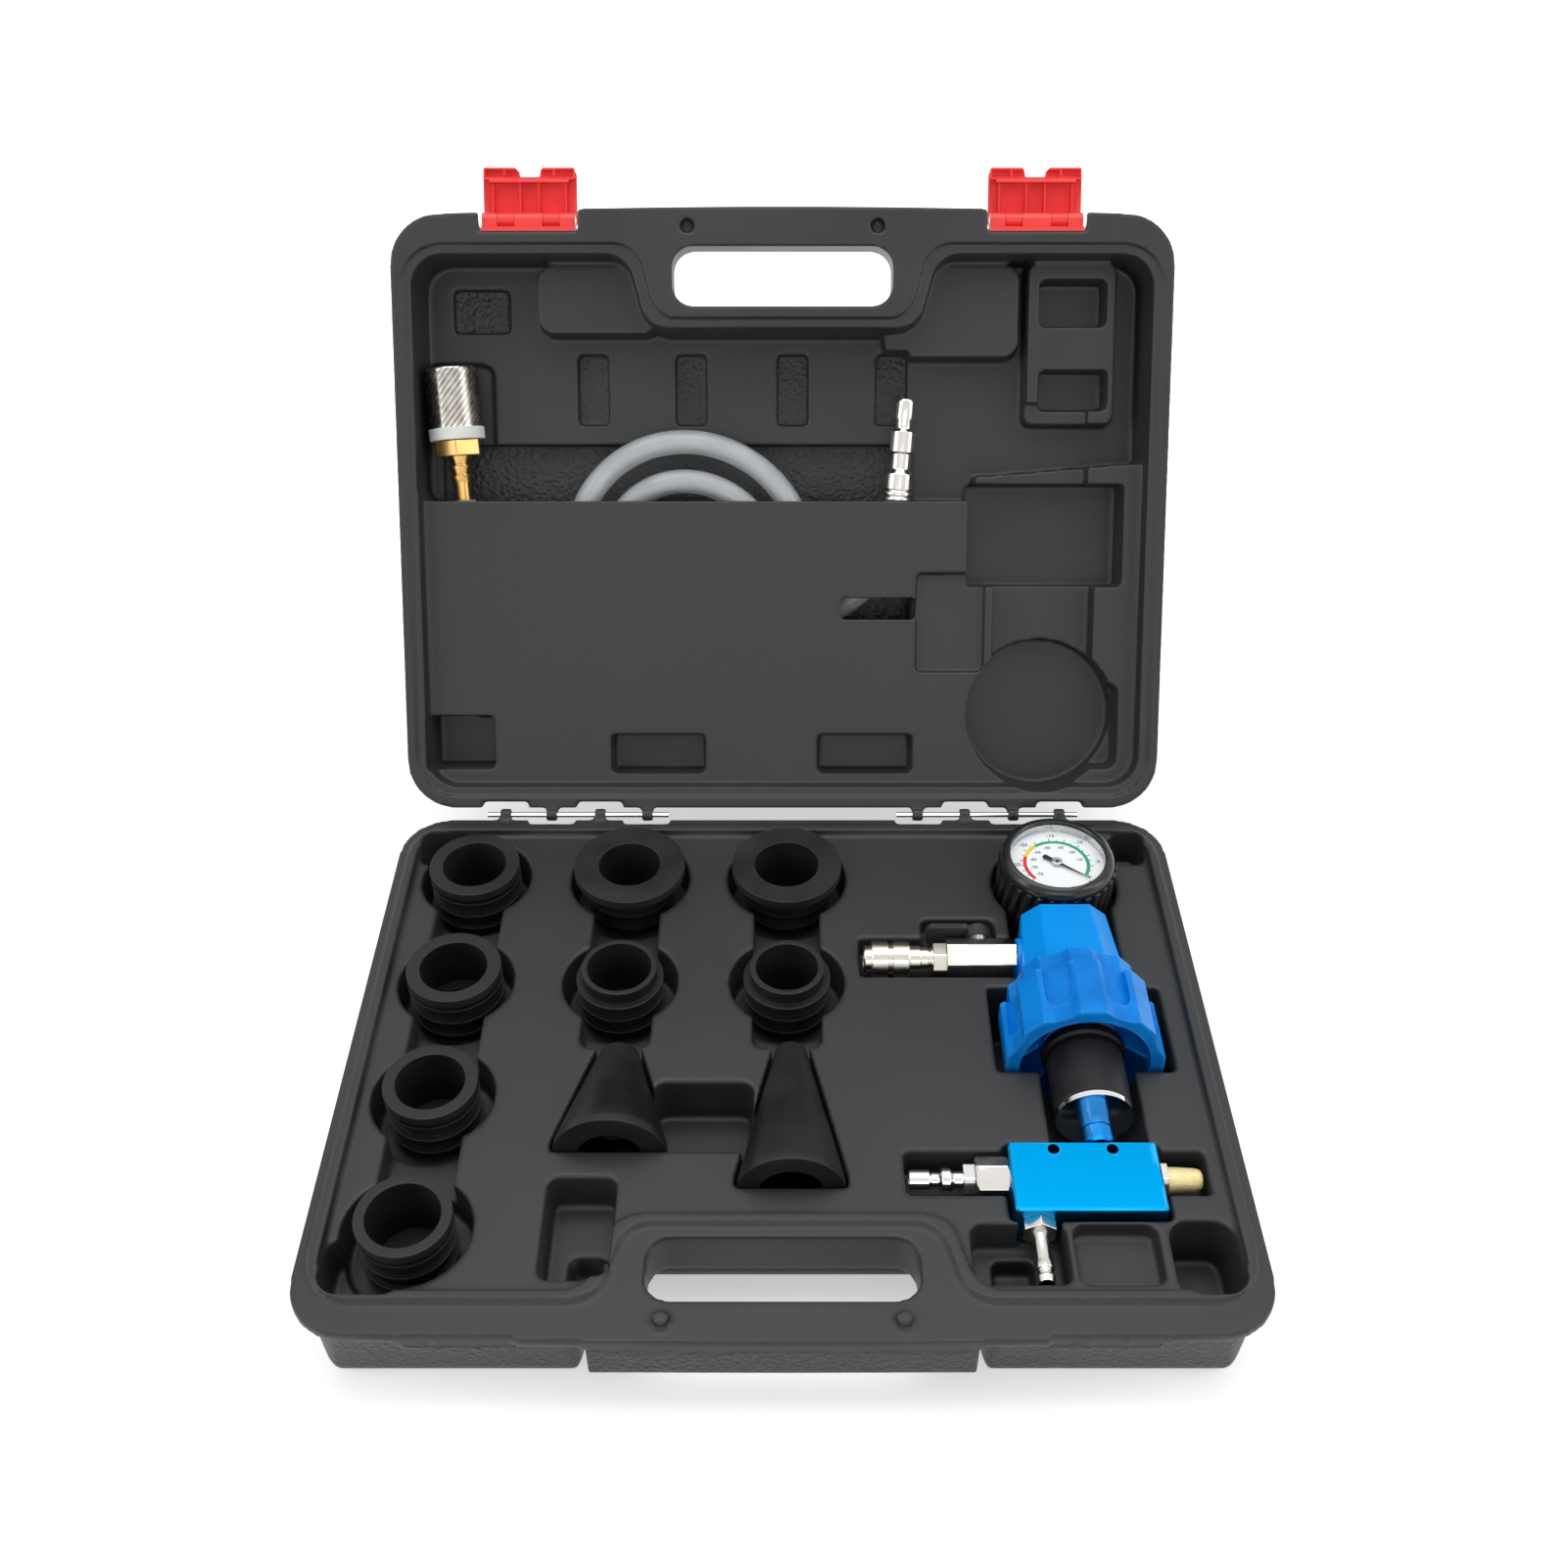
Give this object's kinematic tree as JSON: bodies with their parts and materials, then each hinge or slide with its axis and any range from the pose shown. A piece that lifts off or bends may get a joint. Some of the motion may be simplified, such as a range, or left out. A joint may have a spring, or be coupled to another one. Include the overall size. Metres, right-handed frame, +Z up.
{
  "type": "coolant vacuum filler kit",
  "caption": "Hinged moulded case with a gauge-fitted vacuum head, stepped rubber adapters, cones, a venturi block and a clear hose with strainer for refilling a cooling system.",
  "frame": {"origin": "middle of the case's flat underside, half way between the hinge axis and the front edge", "axes": "+Z up out of the open base, +Y back towards the hinge, +X to the right seen from the front"},
  "size_m": [0.38, 0.4815, 0.3107],
  "materials": {
    "case_plastic": "moulded plastic, fine pebble outside, satin inside",
    "latch_red": "glossy red moulded plastic",
    "plated_steel": "nickel plated",
    "steel": "plain turned steel",
    "black_rubber": "matt moulded rubber",
    "blue_plastic": "satin blue moulded plastic",
    "blue_anodised": "anodised aluminium",
    "brass": "turned brass",
    "white_plastic": "white plastic",
    "dial_white": "printed white dial",
    "clear_glass": "clear lens",
    "black_paint": "black",
    "clear_hose": "clear flexible hose",
    "mesh_steel": "woven wire"
  },
  "bodies": {
    "case_base": {"case_base": "case_plastic", "case_base_inner_left": "case_plastic", "case_base_inner_right": "case_plastic", "hinge_pins": "steel"},
    "case_lid": {"case_lid": "case_plastic", "case_lid_inner_left": "case_plastic", "case_lid_inner_right": "case_plastic", "latch_mounts": "latch_red", "latch_pins": "steel", "hose_coil": "clear_hose", "hose_tail_strainer": "clear_hose", "hose_tail_plug": "clear_hose", "strainer_mesh": "mesh_steel", "strainer_collar": "white_plastic", "strainer_nut_barb": "brass", "hose_plug": "plated_steel"},
    "latch_left": {"latch_left": "latch_red"},
    "latch_right": {"latch_right": "latch_red"},
    "head": {"head_body": "blue_plastic", "expander_rubber": "black_rubber", "knob_washer": "white_plastic", "gauge_boot": "black_rubber", "gauge_case": "steel", "gauge_dial": "dial_white", "gauge_lens": "clear_glass", "gauge_stem": "brass", "bourdon_tube": "brass", "valve_body": "plated_steel", "valve_seats": "white_plastic", "valve_nipple": "plated_steel", "coupler_body": "plated_steel", "coupler_balls": "steel", "coupler_spring": "steel"},
    "head_knob": {"head_knob": "blue_plastic"},
    "draw_tube": {"head_stem_tube": "steel", "expander_washer": "steel", "expander_nut": "blue_anodised"},
    "gauge_needle": {"gauge_needle": "black_paint"},
    "valve_lever": {"valve_lever": "black_paint", "valve_lever_screw": "plated_steel", "valve_stem": "steel", "valve_ball": "plated_steel"},
    "coupler_sleeve": {"coupler_sleeve": "plated_steel"},
    "venturi": {"venturi_block": "blue_anodised", "venturi_nozzle": "brass", "air_plug": "plated_steel", "air_plug_adapter": "plated_steel", "vacuum_plug": "plated_steel", "silencer_hex": "plated_steel", "silencer": "brass"},
    "cone_short": {"cone_short": "black_rubber"},
    "cone_long": {"cone_long": "black_rubber"},
    "adapter_1": {"adapter_1": "black_rubber"},
    "adapter_2": {"adapter_2": "black_rubber"},
    "adapter_3": {"adapter_3": "black_rubber"},
    "adapter_4": {"adapter_4": "black_rubber"},
    "adapter_5": {"adapter_5": "black_rubber"},
    "adapter_6": {"adapter_6": "black_rubber"},
    "adapter_7": {"adapter_7": "black_rubber"},
    "adapter_8": {"adapter_8": "black_rubber"}
  },
  "joints": [
    {"name": "lid_hinge", "type": "hinge", "parent": "case_base", "child": "case_lid", "pos_m": [0, 0.14875, 0.045], "axis": [-1, 0, 0], "range_deg": [-121.3, 0]},
    {"name": "latch_left_hinge", "type": "hinge", "parent": "case_lid", "child": "latch_left", "pos_m": [-0.12293, 0.30643, 0.29086], "axis": [-1, 0, 0], "range_deg": [-90, 0]},
    {"name": "latch_right_hinge", "type": "hinge", "parent": "case_lid", "child": "latch_right", "pos_m": [0.12293, 0.30643, 0.29086], "axis": [-1, 0, 0], "range_deg": [-90, 0]},
    {"name": "head_lift", "type": "slide", "parent": "case_base", "child": "head", "axis": [0, 0, 1], "range_m": [0, 0.12]},
    {"name": "knob_turn", "type": "hinge", "parent": "head", "child": "head_knob", "pos_m": [0.13205, 0.00875, 0.042], "axis": [0, -1, 0], "range_deg": [0, 540]},
    {"name": "tube_draw", "type": "slide", "parent": "head", "child": "draw_tube", "axis": [0, 1, 0], "range_m": [0, 0.003], "deforming": ["expander_rubber"]},
    {"name": "needle_turn", "type": "hinge", "parent": "head", "child": "gauge_needle", "pos_m": [0.13205, 0.09936, 0.057], "axis": [0, 0, 1], "range_deg": [0, 254]},
    {"name": "valve_turn", "type": "hinge", "parent": "head", "child": "valve_lever", "pos_m": [0.09205, 0.05097, 0.042], "axis": [0, 1, 0], "range_deg": [0, 90]},
    {"name": "sleeve_slide", "type": "slide", "parent": "head", "child": "coupler_sleeve", "axis": [1, 0, 0], "range_m": [0, 0.0035], "stiffness_N_per_m": 800, "springref_m": -0.004, "deforming": ["coupler_spring"]},
    {"name": "venturi_lift", "type": "slide", "parent": "case_base", "child": "venturi", "axis": [0, 0, 1], "range_m": [0, 0.08]},
    {"name": "cone_short_lift", "type": "slide", "parent": "case_base", "child": "cone_short", "axis": [0, 0, 1], "range_m": [0, 0.08]},
    {"name": "cone_long_lift", "type": "slide", "parent": "case_base", "child": "cone_long", "axis": [0, 0, 1], "range_m": [0, 0.08]},
    {"name": "adapter_1_lift", "type": "slide", "parent": "case_base", "child": "adapter_1", "axis": [0, 0, 1], "range_m": [0, 0.08]},
    {"name": "adapter_2_lift", "type": "slide", "parent": "case_base", "child": "adapter_2", "axis": [0, 0, 1], "range_m": [0, 0.08]},
    {"name": "adapter_3_lift", "type": "slide", "parent": "case_base", "child": "adapter_3", "axis": [0, 0, 1], "range_m": [0, 0.08]},
    {"name": "adapter_4_lift", "type": "slide", "parent": "case_base", "child": "adapter_4", "axis": [0, 0, 1], "range_m": [0, 0.08]},
    {"name": "adapter_5_lift", "type": "slide", "parent": "case_base", "child": "adapter_5", "axis": [0, 0, 1], "range_m": [0, 0.08]},
    {"name": "adapter_6_lift", "type": "slide", "parent": "case_base", "child": "adapter_6", "axis": [0, 0, 1], "range_m": [0, 0.08]},
    {"name": "adapter_7_lift", "type": "slide", "parent": "case_base", "child": "adapter_7", "axis": [0, 0, 1], "range_m": [0, 0.08]},
    {"name": "adapter_8_lift", "type": "slide", "parent": "case_base", "child": "adapter_8", "axis": [0, 0, 1], "range_m": [0, 0.08]}
  ],
  "couplings": [
    {"joint": "tube_draw", "follows": "knob_turn", "m_per_rad": 0.00031831}
  ]
}
